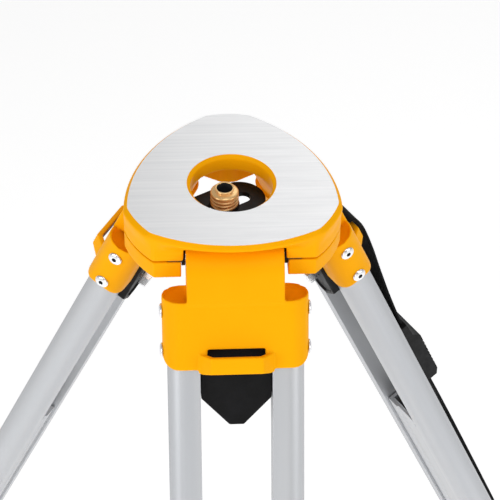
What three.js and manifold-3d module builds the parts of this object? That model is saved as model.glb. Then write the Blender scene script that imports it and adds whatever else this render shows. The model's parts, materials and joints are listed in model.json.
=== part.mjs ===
// Surveyor's tripod with a flat head, twin-tube aluminium legs, cam clamps and a carrying strap.
// Millimetres, +Z up. The origin is on the ground, at the centre of the footprint's bounding box.

import * as THREE from 'three';
import { mergeVertices } from 'three/addons/utils/BufferGeometryUtils.js';
import Module from 'manifold-3d';

const wasm = await Module();
wasm.setup();

// ---------------------------------------------------------------- driving dimensions

const GAP = 0.3;                    // working gap between touching pieces
const radians = THREE.MathUtils.degToRad;
const RETRACTED_HEIGHT = 970;       // top of the head above the ground, legs retracted
const EXTENSION = 160;              // lower legs drawn out by this as it stands
const SPLAY = radians(23.73);
const LEG_AZIMUTHS = [-90, 30, 150];
const LEG_NAMES = ['front', 'right', 'left'];
const CORNER_AZIMUTHS = [90, 210, 330];
const SECTOR = radians(120);

// head, heights below the plate's top face
const CORNER_RADIUS = 61.5;         // plate corners, about the head's axis
const RIM_CORNER_RADIUS = 64.2;     // the same corners under the chamfer
const SKIRT_CORNER_RADIUS = 62.9;   // and at the casting's underside
const SIDE_ARC_RADIUS = 93.3;       // the three long sides
const SIDE_ARC_CENTRE = -40.4;      // its centre, measured from the axis towards the side
const RIM_CHAMFER = 2.2;
const HOLE_RADIUS = 23;
const HOLE_CHAMFER = 2;
const PLATE_THICKNESS = 10;
const SKIRT_FLAT = 44;              // flat outer faces beside the hinges
const SKIRT_FLAT_TOP = 12;
const PARTING = 18.5;               // underside of the head casting
const HINGE_SLOT_HALF = 28.2;
const CAP_TOP = 19.6;
const CAP_BOTTOM = 30.2;
const CAP_HALF = 29.4;              // cap's side faces from the leg's centre plane
const CAP_OUTER_RADIUS = 62.6;
const CAP_INNER_RADIUS = 38;
const CAP_BOLT_RADIUS = 50;         // bolt circle
const CAP_BOLT_BORE = 3.3;

// hinge pins
const PIN_RADIUS = 4;
const PIN_BORE = 4.35;
const PIN_FROM_AXIS = 38.5;
const PIN_DROP = 18.9;
const PIN_HALF_LENGTH = 37;

// fixing screw and its arm, heights below the plate's top face
const ARM_AZIMUTH = 30;
const ARM_PIVOT_FROM_AXIS = 29.5;
const ARM_TOP = 14;
const ARM_THICKNESS = 3;
const ARM_HALF_WIDTH = 14.8;
const ARM_SLOT_HALF = 4.3;
const ARM_SLOT_START = 17.5;        // centres of the slot's round ends, from the pivot
const ARM_SLOT_END = 37.1;
const ARM_ROUND = 34.8;             // centre of the arm's own round end
const SCREW_FROM_PIVOT = 24.9;
const SCREW_TOP = 1.4;
const SCREW_RADIUS = 7.94;          // 5/8 inch thread
const SCREW_PITCH = 2.31;           // 11 threads to the inch
const SCREW_LIFT = 8;
const KNOB_RADIUS = 13;

// legs, lengths from the hinge pin down the leg, depths from the tubes' centre plane
const TUBE_PLANE = 1.66;            // tubes' centre plane, outside the pin
const TUBE_FLAT = 20;               // inner flat of each tube from the leg's centre plane
const TUBE_DEPTH = 9.5;             // half depth, and the radius of the round side
const TUBE_ROUND = 28.7;            // centre of the round side from the leg's centre plane
const TUBE_WALL = 1.8;
const TUBE_TOP = 29.5;
const TUBE_BOTTOM = 740;
const SHELL = 2.5;                  // casting wall round a tube
const TONGUE_HALF = 26.9;
const BARREL_RADIUS = 8.5;
const BODY_TOP = 20.4;
const BODY_FRONT_TOP = 23.5;
const BODY_BOTTOM = 62.8;
const BAR_TOP = 53.2;
const BAR_BOTTOM = 64.5;
const BAR_HALF = 14.5;
const BAR_FACE = 19.7;              // from the tubes' centre plane
const BAR_BEVEL_TOP = 60.7;
const PLUG_TOP = 33.3;
const PLUG_SHOULDER = 82;           // where the V-shaped end begins
const PLUG_BOTTOM = 98;
const PLUG_TIP_HALF = 4;
const PLUG_INNER_FACE = 14;         // proud of the tubes, towards the head's axis
const PLUG_OUTER_FACE = 5.5;
const PLUG_BOLT_DEPTH = 78.7;
const CLAMP_TOP = 692;
const CLAMP_BOTTOM = 762;
const LEVER_PIN_DEPTH = 735;
const LEVER_PIN_OUT = 21.9;         // from the tubes' centre plane
const LOWER_TOP = 102;              // lower leg and foot are measured retracted
const LOWER_BOTTOM = 985;
const LOWER_HALF = 19.3;
const LOWER_DEPTH = 7.7;
const FOOT_TOP = 948;
const FOOT_BOTTOM = 1010;
const FOOT_WALL = 3.5;
const TREAD_TOP = 976;
const TREAD_BOTTOM = 981;
const TREAD_OUT = 38;               // from the tubes' centre plane
const STRAP_HALF = 12.5;
const STRAP_THICKNESS = 1.6;
const BUCKLE_TOP = 160;
const BUCKLE_BOTTOM = 223;

const PLATE_HEIGHT = RETRACTED_HEIGHT + EXTENSION * Math.cos(SPLAY);
const TIP = (RETRACTED_HEIGHT - PIN_DROP + TUBE_PLANE * Math.sin(SPLAY)) / Math.cos(SPLAY);

// ---------------------------------------------------------------- materials

const material = (color, roughness, metalness) =>
  new THREE.MeshStandardMaterial({ color, roughness, metalness });
const yellowPaint = material(0xf7ad16, 0.42, 0);
const anodised = material(0xc3c6c9, 0.38, 0.85);
const zincSteel = material(0xb4b7ba, 0.3, 0.9);
const blackSteel = material(0x141414, 0.45, 0.4);
const blackPlastic = material(0x17171a, 0.55, 0);
const brass = material(0xc79346, 0.28, 0.95);
const webbing = material(0x101012, 0.9, 0);

// ---------------------------------------------------------------- geometry helpers

function toSolid(geometry) {
  const bare = geometry.clone();
  for (const name of Object.keys(bare.attributes)) if (name !== 'position') bare.deleteAttribute(name);
  const merged = mergeVertices(bare, 1e-5);
  return new wasm.Manifold(new wasm.Mesh({
    numProp: 3,
    vertProperties: new Float32Array(merged.attributes.position.array),
    triVerts: new Uint32Array(merged.index.array),
  }));
}

function toGeometry(solid) {
  const mesh = solid.getMesh();
  const geometry = new THREE.BufferGeometry();
  geometry.setAttribute('position', new THREE.BufferAttribute(new Float32Array(mesh.vertProperties), 3));
  geometry.setIndex(new THREE.BufferAttribute(new Uint32Array(mesh.triVerts), 1));
  geometry.computeVertexNormals();
  return geometry;
}

const join = (...geometries) => toGeometry(
  geometries.map(toSolid).reduce((whole, piece) => whole.add(piece)));
const cut = (geometry, ...tools) => toGeometry(
  tools.map(toSolid).reduce((whole, tool) => whole.subtract(tool), toSolid(geometry)));
const common = (a, b) => toGeometry(toSolid(a).intersect(toSolid(b)));

function outline(points) {
  return new THREE.Shape(points.map(([x, y]) => new THREE.Vector2(x, y)));
}

function extrude(shape, depth, curveSegments = 12) {
  return new THREE.ExtrudeGeometry(shape, { depth, bevelEnabled: false, curveSegments });
}

// shape in x-y, from z = bottom to z = top
function plate(shape, bottom, top, curveSegments) {
  return extrude(shape, top - bottom, curveSegments).translate(0, 0, bottom);
}

// shape in y-z, from x = -half to x = half
function profileX(shape, half, curveSegments) {
  const turn = new THREE.Matrix4().makeBasis(
    new THREE.Vector3(0, 1, 0), new THREE.Vector3(0, 0, 1), new THREE.Vector3(1, 0, 0));
  return extrude(shape, 2 * half, curveSegments).applyMatrix4(turn).translate(-half, 0, 0);
}

// shape in x-z, from y = back to y = front
function profileY(shape, back, front, curveSegments) {
  return extrude(shape, front - back, curveSegments).rotateX(Math.PI / 2).translate(0, front, 0);
}

function box(x0, x1, y0, y1, z0, z1) {
  return new THREE.BoxGeometry(x1 - x0, y1 - y0, z1 - z0)
    .translate((x0 + x1) / 2, (y0 + y1) / 2, (z0 + z1) / 2);
}

function lathe(points, segments = 24) {
  const profile = points.map(([r, z]) => new THREE.Vector2(r, z));
  return new THREE.LatheGeometry(profile, segments).rotateX(Math.PI / 2);
}

function rodX(radius, half, segments = 16) {
  return new THREE.CylinderGeometry(radius, radius, 2 * half, segments).rotateZ(Math.PI / 2);
}

function rodZ(radius, bottom, top, segments = 16) {
  return new THREE.CylinderGeometry(radius, radius, top - bottom, segments)
    .rotateX(Math.PI / 2).translate(0, 0, (bottom + top) / 2);
}

function hexZ(acrossFlats, bottom, top) {
  return rodZ(acrossFlats / Math.sqrt(3), bottom, top, 6);
}

// rounded slot outline along y = centre: half length, half width
function stadium(half, radius, centre = 0) {
  const shape = new THREE.Shape();
  shape.moveTo(-half + radius, centre - radius);
  shape.lineTo(half - radius, centre - radius);
  shape.absarc(half - radius, centre, radius, -Math.PI / 2, Math.PI / 2, false);
  shape.lineTo(-half + radius, centre + radius);
  shape.absarc(-half + radius, centre, radius, Math.PI / 2, 3 * Math.PI / 2, false);
  return shape;
}

function roundedBox(halfX, halfY, radius, centreY = 0) {
  const shape = new THREE.Shape();
  shape.moveTo(-halfX + radius, centreY - halfY);
  shape.absarc(halfX - radius, centreY - halfY + radius, radius, -Math.PI / 2, 0, false);
  shape.absarc(halfX - radius, centreY + halfY - radius, radius, 0, Math.PI / 2, false);
  shape.absarc(-halfX + radius, centreY + halfY - radius, radius, Math.PI / 2, Math.PI, false);
  shape.absarc(-halfX + radius, centreY - halfY + radius, radius, Math.PI, 3 * Math.PI / 2, false);
  return shape;
}

// ---------------------------------------------------------------- head

// azimuth measured from the middle of the nearest side
function fromNearestSide(azimuth) {
  const turn = azimuth - radians(LEG_AZIMUTHS[0]);
  return turn - SECTOR * Math.round(turn / SECTOR);
}

// distance from the axis to the plate's edge at an azimuth; its sides grow outwards by an offset
function plateRadius(azimuth, offset, cornerRadius) {
  const fromSide = fromNearestSide(azimuth);
  const radius = SIDE_ARC_RADIUS + offset;
  const along = SIDE_ARC_CENTRE * Math.cos(fromSide);
  const across = SIDE_ARC_CENTRE * Math.sin(fromSide);
  const side = along + Math.sqrt(radius * radius - across * across);
  return Math.min(side, cornerRadius);
}

function skirtRadius(azimuth) {
  return Math.min(SKIRT_FLAT / Math.cos(fromNearestSide(azimuth)), SKIRT_CORNER_RADIUS);
}

// closed ring of surface lofted through levels of {z, radius(azimuth)}
function loftRing(levels, segments) {
  const positions = [];
  const index = [];
  for (const { z, radius } of levels) {
    for (let i = 0; i < segments; i++) {
      const azimuth = 2 * Math.PI * i / segments;
      positions.push(radius(azimuth) * Math.cos(azimuth), radius(azimuth) * Math.sin(azimuth), z);
    }
  }
  for (let level = 0; level < levels.length; level++) {
    const next = (level + 1) % levels.length;
    for (let i = 0; i < segments; i++) {
      const j = (i + 1) % segments;
      const [a, b] = [level * segments + i, level * segments + j];
      const [c, d] = [next * segments + i, next * segments + j];
      index.push(a, b, d, a, d, c);
    }
  }
  const geometry = new THREE.BufferGeometry();
  geometry.setAttribute('position', new THREE.Float32BufferAttribute(positions, 3));
  geometry.setIndex(index);
  return geometry;
}

// turns a shape made for +Y so that it faces an azimuth
const facing = (geometry, azimuth) => geometry.rotateZ(radians(azimuth - 90));

function pinGroove(azimuth) {
  const groove = rodX(PIN_BORE, PIN_HALF_LENGTH + GAP).translate(0, PIN_FROM_AXIS, -PIN_DROP);
  return facing(groove, azimuth);
}

function headCasting() {
  const shell = loftRing([
    { z: -PARTING, radius: skirtRadius },
    { z: -SKIRT_FLAT_TOP, radius: skirtRadius },
    { z: -RIM_CHAMFER, radius: (a) => plateRadius(a, RIM_CHAMFER, RIM_CORNER_RADIUS) },
    { z: 0, radius: (a) => plateRadius(a, 0, CORNER_RADIUS) },
    { z: 0, radius: () => HOLE_RADIUS + HOLE_CHAMFER },
    { z: -HOLE_CHAMFER, radius: () => HOLE_RADIUS },
    { z: -PARTING, radius: () => HOLE_RADIUS },
  ], 72);
  const below = -PARTING - 5;
  const slots = LEG_AZIMUTHS.map((azimuth) => facing(
    box(-HINGE_SLOT_HALF, HINGE_SLOT_HALF, 0, 80, below, -PLATE_THICKNESS), azimuth));
  const boltHoles = CORNER_AZIMUTHS.map((azimuth) => facing(
    rodZ(CAP_BOLT_BORE, below, -8).translate(0, CAP_BOLT_RADIUS, 0), azimuth));
  const pivotBores = [rodZ(CAP_BOLT_BORE, below, -4), rodZ(10, below, -PLATE_THICKNESS, 24)].map(
    (bore) => facing(bore.translate(0, ARM_PIVOT_FROM_AXIS, 0), ARM_AZIMUTH + 180));
  return cut(shell, ...slots, ...LEG_AZIMUTHS.map(pinGroove), ...boltHoles, ...pivotBores);
}

// wedge that clamps two pin ends under a corner of the head; made for the corner at +Y
function hingeCap() {
  const side = radians(60);
  const [sin, cos] = [Math.sin(side), Math.cos(side)];
  const flatLateral = Math.sqrt(CAP_OUTER_RADIUS ** 2 - SKIRT_FLAT ** 2);
  const at = (out, lateral) => [out * sin - lateral * cos, out * cos + lateral * sin];
  const inner = at(SKIRT_FLAT, CAP_HALF);
  const outer = at(SKIRT_FLAT, flatLateral);
  const shape = new THREE.Shape();
  const throat = at(CAP_HALF / Math.tan(side) + 6, CAP_HALF);
  shape.moveTo(...throat);
  shape.lineTo(...inner);
  shape.lineTo(...outer);
  const end = Math.atan2(outer[1], outer[0]);
  shape.absarc(0, 0, CAP_OUTER_RADIUS, end, Math.PI - end, false);
  shape.lineTo(-inner[0], inner[1]);
  shape.lineTo(-throat[0], throat[1]);
  shape.quadraticCurveTo(0, CAP_INNER_RADIUS - 3, ...throat);
  const block = plate(shape, -CAP_BOTTOM, -CAP_TOP, 8);
  const grooves = [-60, 60].map((turn) => pinGroove(90 + turn));
  const hole = rodZ(CAP_BOLT_BORE, -CAP_BOTTOM - 1, -CAP_TOP + 1).translate(0, CAP_BOLT_RADIUS, 0);
  return cut(block, ...grooves, hole);
}

function capBolt() {
  return join(rodZ(3, -CAP_BOTTOM - 2, -9), hexZ(10, -CAP_BOTTOM - GAP - 4, -CAP_BOTTOM - GAP));
}

function hingePin() {
  return rodX(PIN_RADIUS, PIN_HALF_LENGTH);
}

// ---------------------------------------------------------------- fixing screw and arm

// flat arm from its pivot (the local origin) along +X, past the head's axis
function swingArm() {
  const eye = 7.5;
  const shoulder = 12;
  const shape = new THREE.Shape();
  shape.absarc(0, 0, eye, 2.1, -2.1, false);
  shape.lineTo(shoulder, -ARM_HALF_WIDTH);
  shape.absarc(ARM_ROUND, 0, ARM_HALF_WIDTH, -Math.PI / 2, Math.PI / 2, false);
  shape.lineTo(shoulder, ARM_HALF_WIDTH);
  const slot = new THREE.Path();
  slot.moveTo(ARM_SLOT_START, ARM_SLOT_HALF);
  slot.absarc(ARM_SLOT_START, 0, ARM_SLOT_HALF, Math.PI / 2, 3 * Math.PI / 2, false);
  slot.absarc(ARM_SLOT_END, 0, ARM_SLOT_HALF, -Math.PI / 2, Math.PI / 2, false);
  const bore = new THREE.Path();
  bore.absarc(0, 0, 3.4, 0, 2 * Math.PI, false);
  shape.holes.push(slot, bore);
  return plate(shape, -ARM_TOP - ARM_THICKNESS, -ARM_TOP, 10);
}

function armPivotBolt() {
  const under = -ARM_TOP - ARM_THICKNESS - GAP;
  return join(rodZ(3, under - 1, -5), hexZ(8, under - 4, under));
}

function slotWasher() {
  const bottom = -ARM_TOP + GAP;
  return lathe([[4.3, bottom], [8.5, bottom], [8.5, bottom + 1], [4.3, bottom + 1], [4.3, bottom]]);
}

const WASHER_TOP = -ARM_TOP - ARM_THICKNESS - SCREW_LIFT - GAP;
const KNOB_TOP = WASHER_TOP - 1.2 - GAP;
const KNOB_BOTTOM = KNOB_TOP - 22;

function thrustWasher() {
  const bottom = WASHER_TOP - 1.2;
  return lathe([[4.3, bottom], [10, bottom], [10, WASHER_TOP], [4.3, WASHER_TOP], [4.3, bottom]]);
}

// hollow fixing screw: neck, thread, waist and tip ring, bored through for a plumb line
function fixingScrew() {
  const shoulder = -ARM_TOP + 1 + 2 * GAP;
  const root = SCREW_RADIUS - 1.1;
  const threads = 3;
  const points = [[2, KNOB_BOTTOM - 2], [3.9, KNOB_BOTTOM - 2], [3.9, shoulder],
    [SCREW_RADIUS, shoulder]];
  for (let i = 0; i < threads; i++) {
    const z = shoulder + 0.5 + i * SCREW_PITCH;
    points.push([SCREW_RADIUS, z + 0.7], [root, z + 1.2], [root, z + 1.5], [SCREW_RADIUS, z + 2]);
  }
  points.push([SCREW_RADIUS, -SCREW_TOP - 3.4], [7.3, -SCREW_TOP - 2.5], [5.6, -SCREW_TOP - 2],
    [4.9, -SCREW_TOP - 2], [4.9, -SCREW_TOP - 1.5], [5.4, -SCREW_TOP - 1.2], [5.4, -SCREW_TOP - 0.3],
    [5.1, -SCREW_TOP], [4.4, -SCREW_TOP], [4.4, -SCREW_TOP - 8], [2, -SCREW_TOP - 9.5],
    [2, KNOB_BOTTOM - 2]);
  return lathe(points, 20);
}

function fixingKnob() {
  const shape = new THREE.Shape();
  const lobes = 8;
  for (let i = 0; i < lobes * 6; i++) {
    const angle = 2 * Math.PI * i / (lobes * 6);
    const radius = KNOB_RADIUS - 0.8 + 0.8 * Math.cos(lobes * angle);
    const method = i === 0 ? 'moveTo' : 'lineTo';
    shape[method](radius * Math.cos(angle), radius * Math.sin(angle));
  }
  shape.closePath();
  const bore = new THREE.Path();
  bore.absarc(0, 0, 3.9 + GAP, 0, 2 * Math.PI, false);
  shape.holes.push(bore);
  return plate(shape, KNOB_BOTTOM, KNOB_TOP, 8);
}

// ---------------------------------------------------------------- upper leg

// D-shaped section on the +X side, grown by an offset; inner flat moved by flatOffset
function dSection(offset, flatOffset = offset) {
  const radius = TUBE_DEPTH + offset;
  const shape = new THREE.Shape();
  shape.moveTo(TUBE_FLAT - flatOffset, TUBE_PLANE - radius);
  shape.lineTo(TUBE_ROUND, TUBE_PLANE - radius);
  shape.absarc(TUBE_ROUND, TUBE_PLANE, radius, -Math.PI / 2, Math.PI / 2, false);
  shape.lineTo(TUBE_FLAT - flatOffset, TUBE_PLANE + radius);
  shape.closePath();
  return shape;
}

const mirrorX = (geometry) => {
  const mirrored = geometry.clone().applyMatrix4(new THREE.Matrix4().makeScale(-1, 1, 1));
  const flipped = mirrored.index ? mirrored.toNonIndexed() : mirrored;
  const p = flipped.attributes.position;
  const spare = [new THREE.Vector3(), new THREE.Vector3()];
  for (let i = 0; i < p.count; i += 3) {
    spare[0].fromBufferAttribute(p, i + 1);
    spare[1].fromBufferAttribute(p, i + 2);
    p.setXYZ(i + 1, spare[1].x, spare[1].y, spare[1].z);
    p.setXYZ(i + 2, spare[0].x, spare[0].y, spare[0].z);
  }
  return flipped;
};

function tube() {
  const section = dSection(0);
  section.holes.push(new THREE.Path(dSection(-TUBE_WALL).getPoints(8)));
  return plate(section, -TUBE_BOTTOM, -TUBE_TOP, 8);
}

// bar that stands off the casting's face on two slanted ends, from depth root to depth face
function strapBar(top, bottom, root, face) {
  const thickness = 3;
  const half = BAR_HALF + 0.83 * (face - root);
  const inner = [[half - 3.9, root], [BAR_HALF - 1.4, face - thickness]];
  const outer = [[BAR_HALF, face], [half, root]];
  const mirrored = (points) => points.map(([x, y]) => [-x, y]).reverse();
  const points = [...inner, ...mirrored(inner), ...mirrored(outer), ...outer];
  return plate(outline(points.map(([x, y]) => [x, TUBE_PLANE + y])), -bottom, -top);
}

function legTongue() {
  const front = TUBE_PLANE + TUBE_DEPTH + SHELL + 0.4;
  const crown = radians(35);
  const shape = new THREE.Shape();
  shape.moveTo(-BARREL_RADIUS, -BODY_FRONT_TOP - 1);
  shape.lineTo(front, -BODY_FRONT_TOP - 1);
  shape.lineTo(front, -9.5);
  shape.quadraticCurveTo(front, -1, BARREL_RADIUS * Math.cos(crown), BARREL_RADIUS * Math.sin(crown));
  shape.absarc(0, 0, BARREL_RADIUS, crown, Math.PI, false);
  shape.closePath();
  return profileX(shape, TONGUE_HALF, 8);
}

// twin-socket casting that carries the hinge tongue and the strap bar
function legCasting() {
  const half = TUBE_ROUND + TUBE_DEPTH + SHELL;
  const depth = TUBE_DEPTH + SHELL;
  const [back, front] = [TUBE_PLANE - depth, TUBE_PLANE + depth];
  const footprint = plate(stadium(half, depth, TUBE_PLANE), -BODY_BOTTOM, -BODY_TOP, 10);
  const corner = 7;
  const face = new THREE.Shape();
  face.moveTo(-half, -BODY_TOP);
  face.lineTo(-half, -BODY_BOTTOM + corner);
  face.absarc(-half + corner, -BODY_BOTTOM + corner, corner, Math.PI, 3 * Math.PI / 2, false);
  face.absarc(half - corner, -BODY_BOTTOM + corner, corner, 3 * Math.PI / 2, 2 * Math.PI, false);
  face.lineTo(half, -BODY_TOP);
  const rounded = common(footprint, profileY(face, back - 1, front + 1, 6));
  const slope = profileX(outline([
    [back - 5, -BODY_TOP + 0.6], [front + 5, -BODY_FRONT_TOP - 0.6], [front + 5, 0], [back - 5, 0],
  ]), half + 5);
  const dishes = [-1, 1].map((sign) => new THREE.SphereGeometry(1, 16, 8)
    .scale(depth - 0.8, depth - 0.8, 5)
    .translate(sign * TUBE_ROUND, TUBE_PLANE, -22.2));
  const bevel = profileX(outline([
    [TUBE_PLANE + BAR_FACE, -BAR_BEVEL_TOP], [TUBE_PLANE + BAR_FACE, -BAR_BOTTOM - 1],
    [front, -BAR_BOTTOM - 1], [front + 2, -BAR_BOTTOM],
  ].map(([y, z]) => [y + 0.01, z])), half);
  const bar = cut(strapBar(BAR_TOP, BAR_BOTTOM, depth - 0.5, BAR_FACE), bevel);
  const block = join(cut(rounded, slope, ...dishes), legTongue(), bar);
  const below = -BODY_BOTTOM - 2;
  const socket = plate(dSection(GAP, 0.5), below, -TUBE_TOP + GAP, 8);
  const channel = box(-TUBE_FLAT, TUBE_FLAT, back - 10, TUBE_PLANE + 9, below, GAP - PLUG_TOP);
  const notch = box(-16, 16, TUBE_PLANE + PLUG_OUTER_FACE, front + 0.05, below, 2.5 - BAR_TOP);
  const bore = rodX(PIN_BORE, TONGUE_HALF + 5);
  return cut(block, socket, mirrorX(socket), channel, notch, bore);
}

// plastic plug that closes the gap between the tubes, with a V-shaped lower end
function legPlug() {
  const half = TUBE_FLAT - GAP;
  const shape = outline([[-half, -PLUG_TOP], [-half, -PLUG_SHOULDER], [-PLUG_TIP_HALF, -PLUG_BOTTOM],
    [PLUG_TIP_HALF, -PLUG_BOTTOM], [half, -PLUG_SHOULDER], [half, -PLUG_TOP]]);
  const body = profileY(shape, TUBE_PLANE - PLUG_INNER_FACE, TUBE_PLANE + PLUG_OUTER_FACE);
  return cut(body, boltAcross(2.9, -PLUG_INNER_FACE - 5, 4));
}

// rod square to the plug's faces, between two depths from the tubes' centre plane
function boltAcross(radius, from, to, sides = 16) {
  return new THREE.CylinderGeometry(radius, radius, to - from, sides)
    .translate(0, (from + to) / 2 + TUBE_PLANE, -PLUG_BOLT_DEPTH);
}

function plugBolt() {
  const face = -PLUG_INNER_FACE - GAP;
  return join(boltAcross(2.5, face - 1, 3), boltAcross(8 / Math.sqrt(3), face - 5, face, 6));
}

// ---------------------------------------------------------------- clamp

function clampHousing() {
  const shell = 4;
  const depth = TUBE_DEPTH + shell;
  const half = TUBE_ROUND + depth;
  const front = TUBE_PLANE + depth;
  const body = plate(stadium(half, depth, TUBE_PLANE), -CLAMP_BOTTOM, -CLAMP_TOP, 10);
  const ear = new THREE.Shape();
  ear.moveTo(front - 1, -LEVER_PIN_DEPTH + 13);
  ear.lineTo(front - 1, -LEVER_PIN_DEPTH - 13);
  ear.absarc(TUBE_PLANE + LEVER_PIN_OUT, -LEVER_PIN_DEPTH, 6, -0.9, 0.9, false);
  const ears = [-12.2, 12.2].map((x) => profileX(ear, 2, 8).translate(x, 0, 0));
  const bar = strapBar(CLAMP_TOP + 2, CLAMP_TOP + 12, depth - 0.5, depth + 7);
  const socket = plate(dSection(GAP, 0.8), -TUBE_BOTTOM - GAP, -CLAMP_TOP + 2, 8);
  const window = box(-LOWER_HALF - 0.4, LOWER_HALF + 0.4,
    TUBE_PLANE - LOWER_DEPTH - 0.5, TUBE_PLANE + LOWER_DEPTH + 0.5, -CLAMP_BOTTOM - 2, -CLAMP_TOP + 2);
  const shoeHole = box(-8.3, 8.3, TUBE_PLANE, front + 2, -LEVER_PIN_DEPTH - 9.3, -LEVER_PIN_DEPTH + 9.3);
  const pinHole = rodX(3.3, 20).translate(0, TUBE_PLANE + LEVER_PIN_OUT, -LEVER_PIN_DEPTH);
  return cut(join(body, ...ears, bar), socket, mirrorX(socket), window, shoeHole, pinHole);
}

function clampShoe() {
  const inner = TUBE_PLANE + LOWER_DEPTH + GAP;
  return box(-8, 8, inner, inner + 5.8, -LEVER_PIN_DEPTH - 9, -LEVER_PIN_DEPTH + 9);
}

// cam lever, its pin at the local origin, closed with the handle down the leg
function clampLever() {
  const cam = 6.6;
  const eccentricity = 1.2;
  const shape = new THREE.Shape();
  shape.absarc(-eccentricity, 0, cam, -0.3, Math.PI + 0.9, false);
  shape.lineTo(-3.6, -9);
  shape.lineTo(-2.6, -42);
  shape.quadraticCurveTo(-2.4, -58, 2.5, -68);
  shape.lineTo(6.5, -66);
  shape.quadraticCurveTo(3.4, -55, 3.4, -42);
  shape.lineTo(4.4, -9);
  shape.closePath();
  const bore = new THREE.Path();
  bore.absarc(0, 0, 3.3, 0, 2 * Math.PI, false);
  shape.holes.push(bore);
  return profileX(shape, 9.6, 8);
}

function leverPin() {
  return join(rodX(3, 15), rodX(4.4, 0.8).translate(15.3, 0, 0));
}

// ---------------------------------------------------------------- lower leg and foot

function lowerLeg() {
  const groove = 10;
  const [low, high] = [TUBE_PLANE - LOWER_DEPTH, TUBE_PLANE + LOWER_DEPTH];
  const shape = outline([
    [-LOWER_HALF, low], [-groove, low], [-groove + 1, low + 1], [groove - 1, low + 1], [groove, low],
    [LOWER_HALF, low], [LOWER_HALF, high], [groove, high], [groove - 1, high - 1],
    [-groove + 1, high - 1], [-groove, high], [-LOWER_HALF, high]]);
  const wall = 2.2;
  const hollow = outline([
    [-LOWER_HALF + wall, low + wall + 1], [LOWER_HALF - wall, low + wall + 1],
    [LOWER_HALF - wall, high - wall - 1], [-LOWER_HALF + wall, high - wall - 1]]);
  shape.holes.push(new THREE.Path(hollow.getPoints()));
  return plate(shape, -LOWER_BOTTOM, -LOWER_TOP);
}

function foot() {
  const [half, depth] = [LOWER_HALF + FOOT_WALL, LOWER_DEPTH + FOOT_WALL];
  const shoulder = -LOWER_BOTTOM - 5;
  const point = 9.5;
  const sleeve = plate(roundedBox(half, depth, 4, TUBE_PLANE), shoulder - 1, -FOOT_TOP, 4);
  const taper = profileX(outline([
    [TUBE_PLANE - depth, shoulder], [TUBE_PLANE - point, -FOOT_BOTTOM],
    [TUBE_PLANE + point, -FOOT_BOTTOM], [TUBE_PLANE + depth, shoulder]]), half);
  const side = outline([
    [-half, shoulder], [-point, -FOOT_BOTTOM], [point, -FOOT_BOTTOM], [half, shoulder]]);
  const toe = common(taper, profileY(side, TUBE_PLANE - 2 * depth, TUBE_PLANE + 2 * depth));
  const [root, edge] = [TUBE_PLANE + 10, TUBE_PLANE + TREAD_OUT];
  const tread = plate(outline([[-15, root], [-15, edge - 4], [-11, edge], [11, edge], [15, edge - 4],
    [15, root]]), -TREAD_BOTTOM, -TREAD_TOP);
  const rib = profileX(outline([[root, -FOOT_BOTTOM + 3], [root, -TREAD_TOP - 1],
    [edge - 4, -TREAD_TOP - 1], [edge - 4, -TREAD_BOTTOM - 2]]), 2.5);
  const socket = plate(roundedBox(LOWER_HALF + GAP, LOWER_DEPTH + GAP, 0.5, TUBE_PLANE),
    -LOWER_BOTTOM - GAP, -FOOT_TOP + 2, 2);
  const bore = rodZ(5 + GAP, -FOOT_BOTTOM - 2, -LOWER_BOTTOM - 6).translate(0, TUBE_PLANE, 0);
  return cut(join(sleeve, toe, tread, rib), socket, bore);
}

function spike() {
  return lathe([[0, -TIP], [7, -FOOT_BOTTOM - 7], [7, -FOOT_BOTTOM - GAP], [5, -FOOT_BOTTOM - GAP],
    [5, -LOWER_BOTTOM - 7], [0, -LOWER_BOTTOM - 7]], 16).translate(0, TUBE_PLANE, 0);
}

// ---------------------------------------------------------------- strap

// band of constant thickness along a centreline of [depth from the tubes' plane, length] points
function ribbon(points, thickness) {
  const curve = new THREE.SplineCurve(points.map(([y, l]) => new THREE.Vector2(TUBE_PLANE + y, -l)));
  const count = points.length * 2;
  const sides = [[], []];
  for (let i = 0; i <= count; i++) {
    const point = curve.getPoint(i / count);
    const tangent = curve.getTangent(i / count);
    const offset = new THREE.Vector2(-tangent.y, tangent.x).multiplyScalar(thickness / 2);
    sides[0].push(point.clone().add(offset));
    sides[1].unshift(point.clone().sub(offset));
  }
  return new THREE.Shape([...sides[0], ...sides[1]]);
}

// webbing strap along the outside of one leg, looped through the bars at both ends
const STRAP_ROUTE = [
  [12.6, 214], [12.6, 180], [12.4, 150], [12.1, 110], [11.9, 80], [12.2, 66], [12.9, 57], [13.8, 50.5],
  [16.8, 46.6], [20.3, 48.6], [22.2, 55.5], [22.6, 64], [21.6, 82], [19.8, 100], [17.3, 130],
  [15.6, 165], [15.6, 190], [15.6, 214], [15.9, 260], [15.6, 340], [14.8, 460], [14.4, 580], [15.2, 660],
  [15.6, 690], [15.6, 700], [16.2, 706.2], [19, 708.6], [21.8, 706.2], [22.6, 700], [21.2, 688],
  [18.2, 668], [17.2, 640],
];

function strap() {
  return profileX(ribbon(STRAP_ROUTE, STRAP_THICKNESS), STRAP_HALF);
}

// slider buckle, a sleeve round both strands with a stepped outer face
function strapBuckle() {
  const shape = outline([
    [10.9, BUCKLE_TOP], [17.6, BUCKLE_TOP], [18.2, BUCKLE_TOP + 12], [22.6, BUCKLE_TOP + 18],
    [22.6, BUCKLE_BOTTOM - 5], [20.4, BUCKLE_BOTTOM], [10.9, BUCKLE_BOTTOM],
  ].map(([y, l]) => [TUBE_PLANE + y, -l]));
  const sleeve = profileX(shape, STRAP_HALF + 3.2);
  const channel = box(-STRAP_HALF - 0.5, STRAP_HALF + 0.5, TUBE_PLANE + 11.45, TUBE_PLANE + 16.8,
    -BUCKLE_BOTTOM - 2, -BUCKLE_TOP + 5);
  return cut(sleeve, channel);
}

// ---------------------------------------------------------------- assembly

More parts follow.
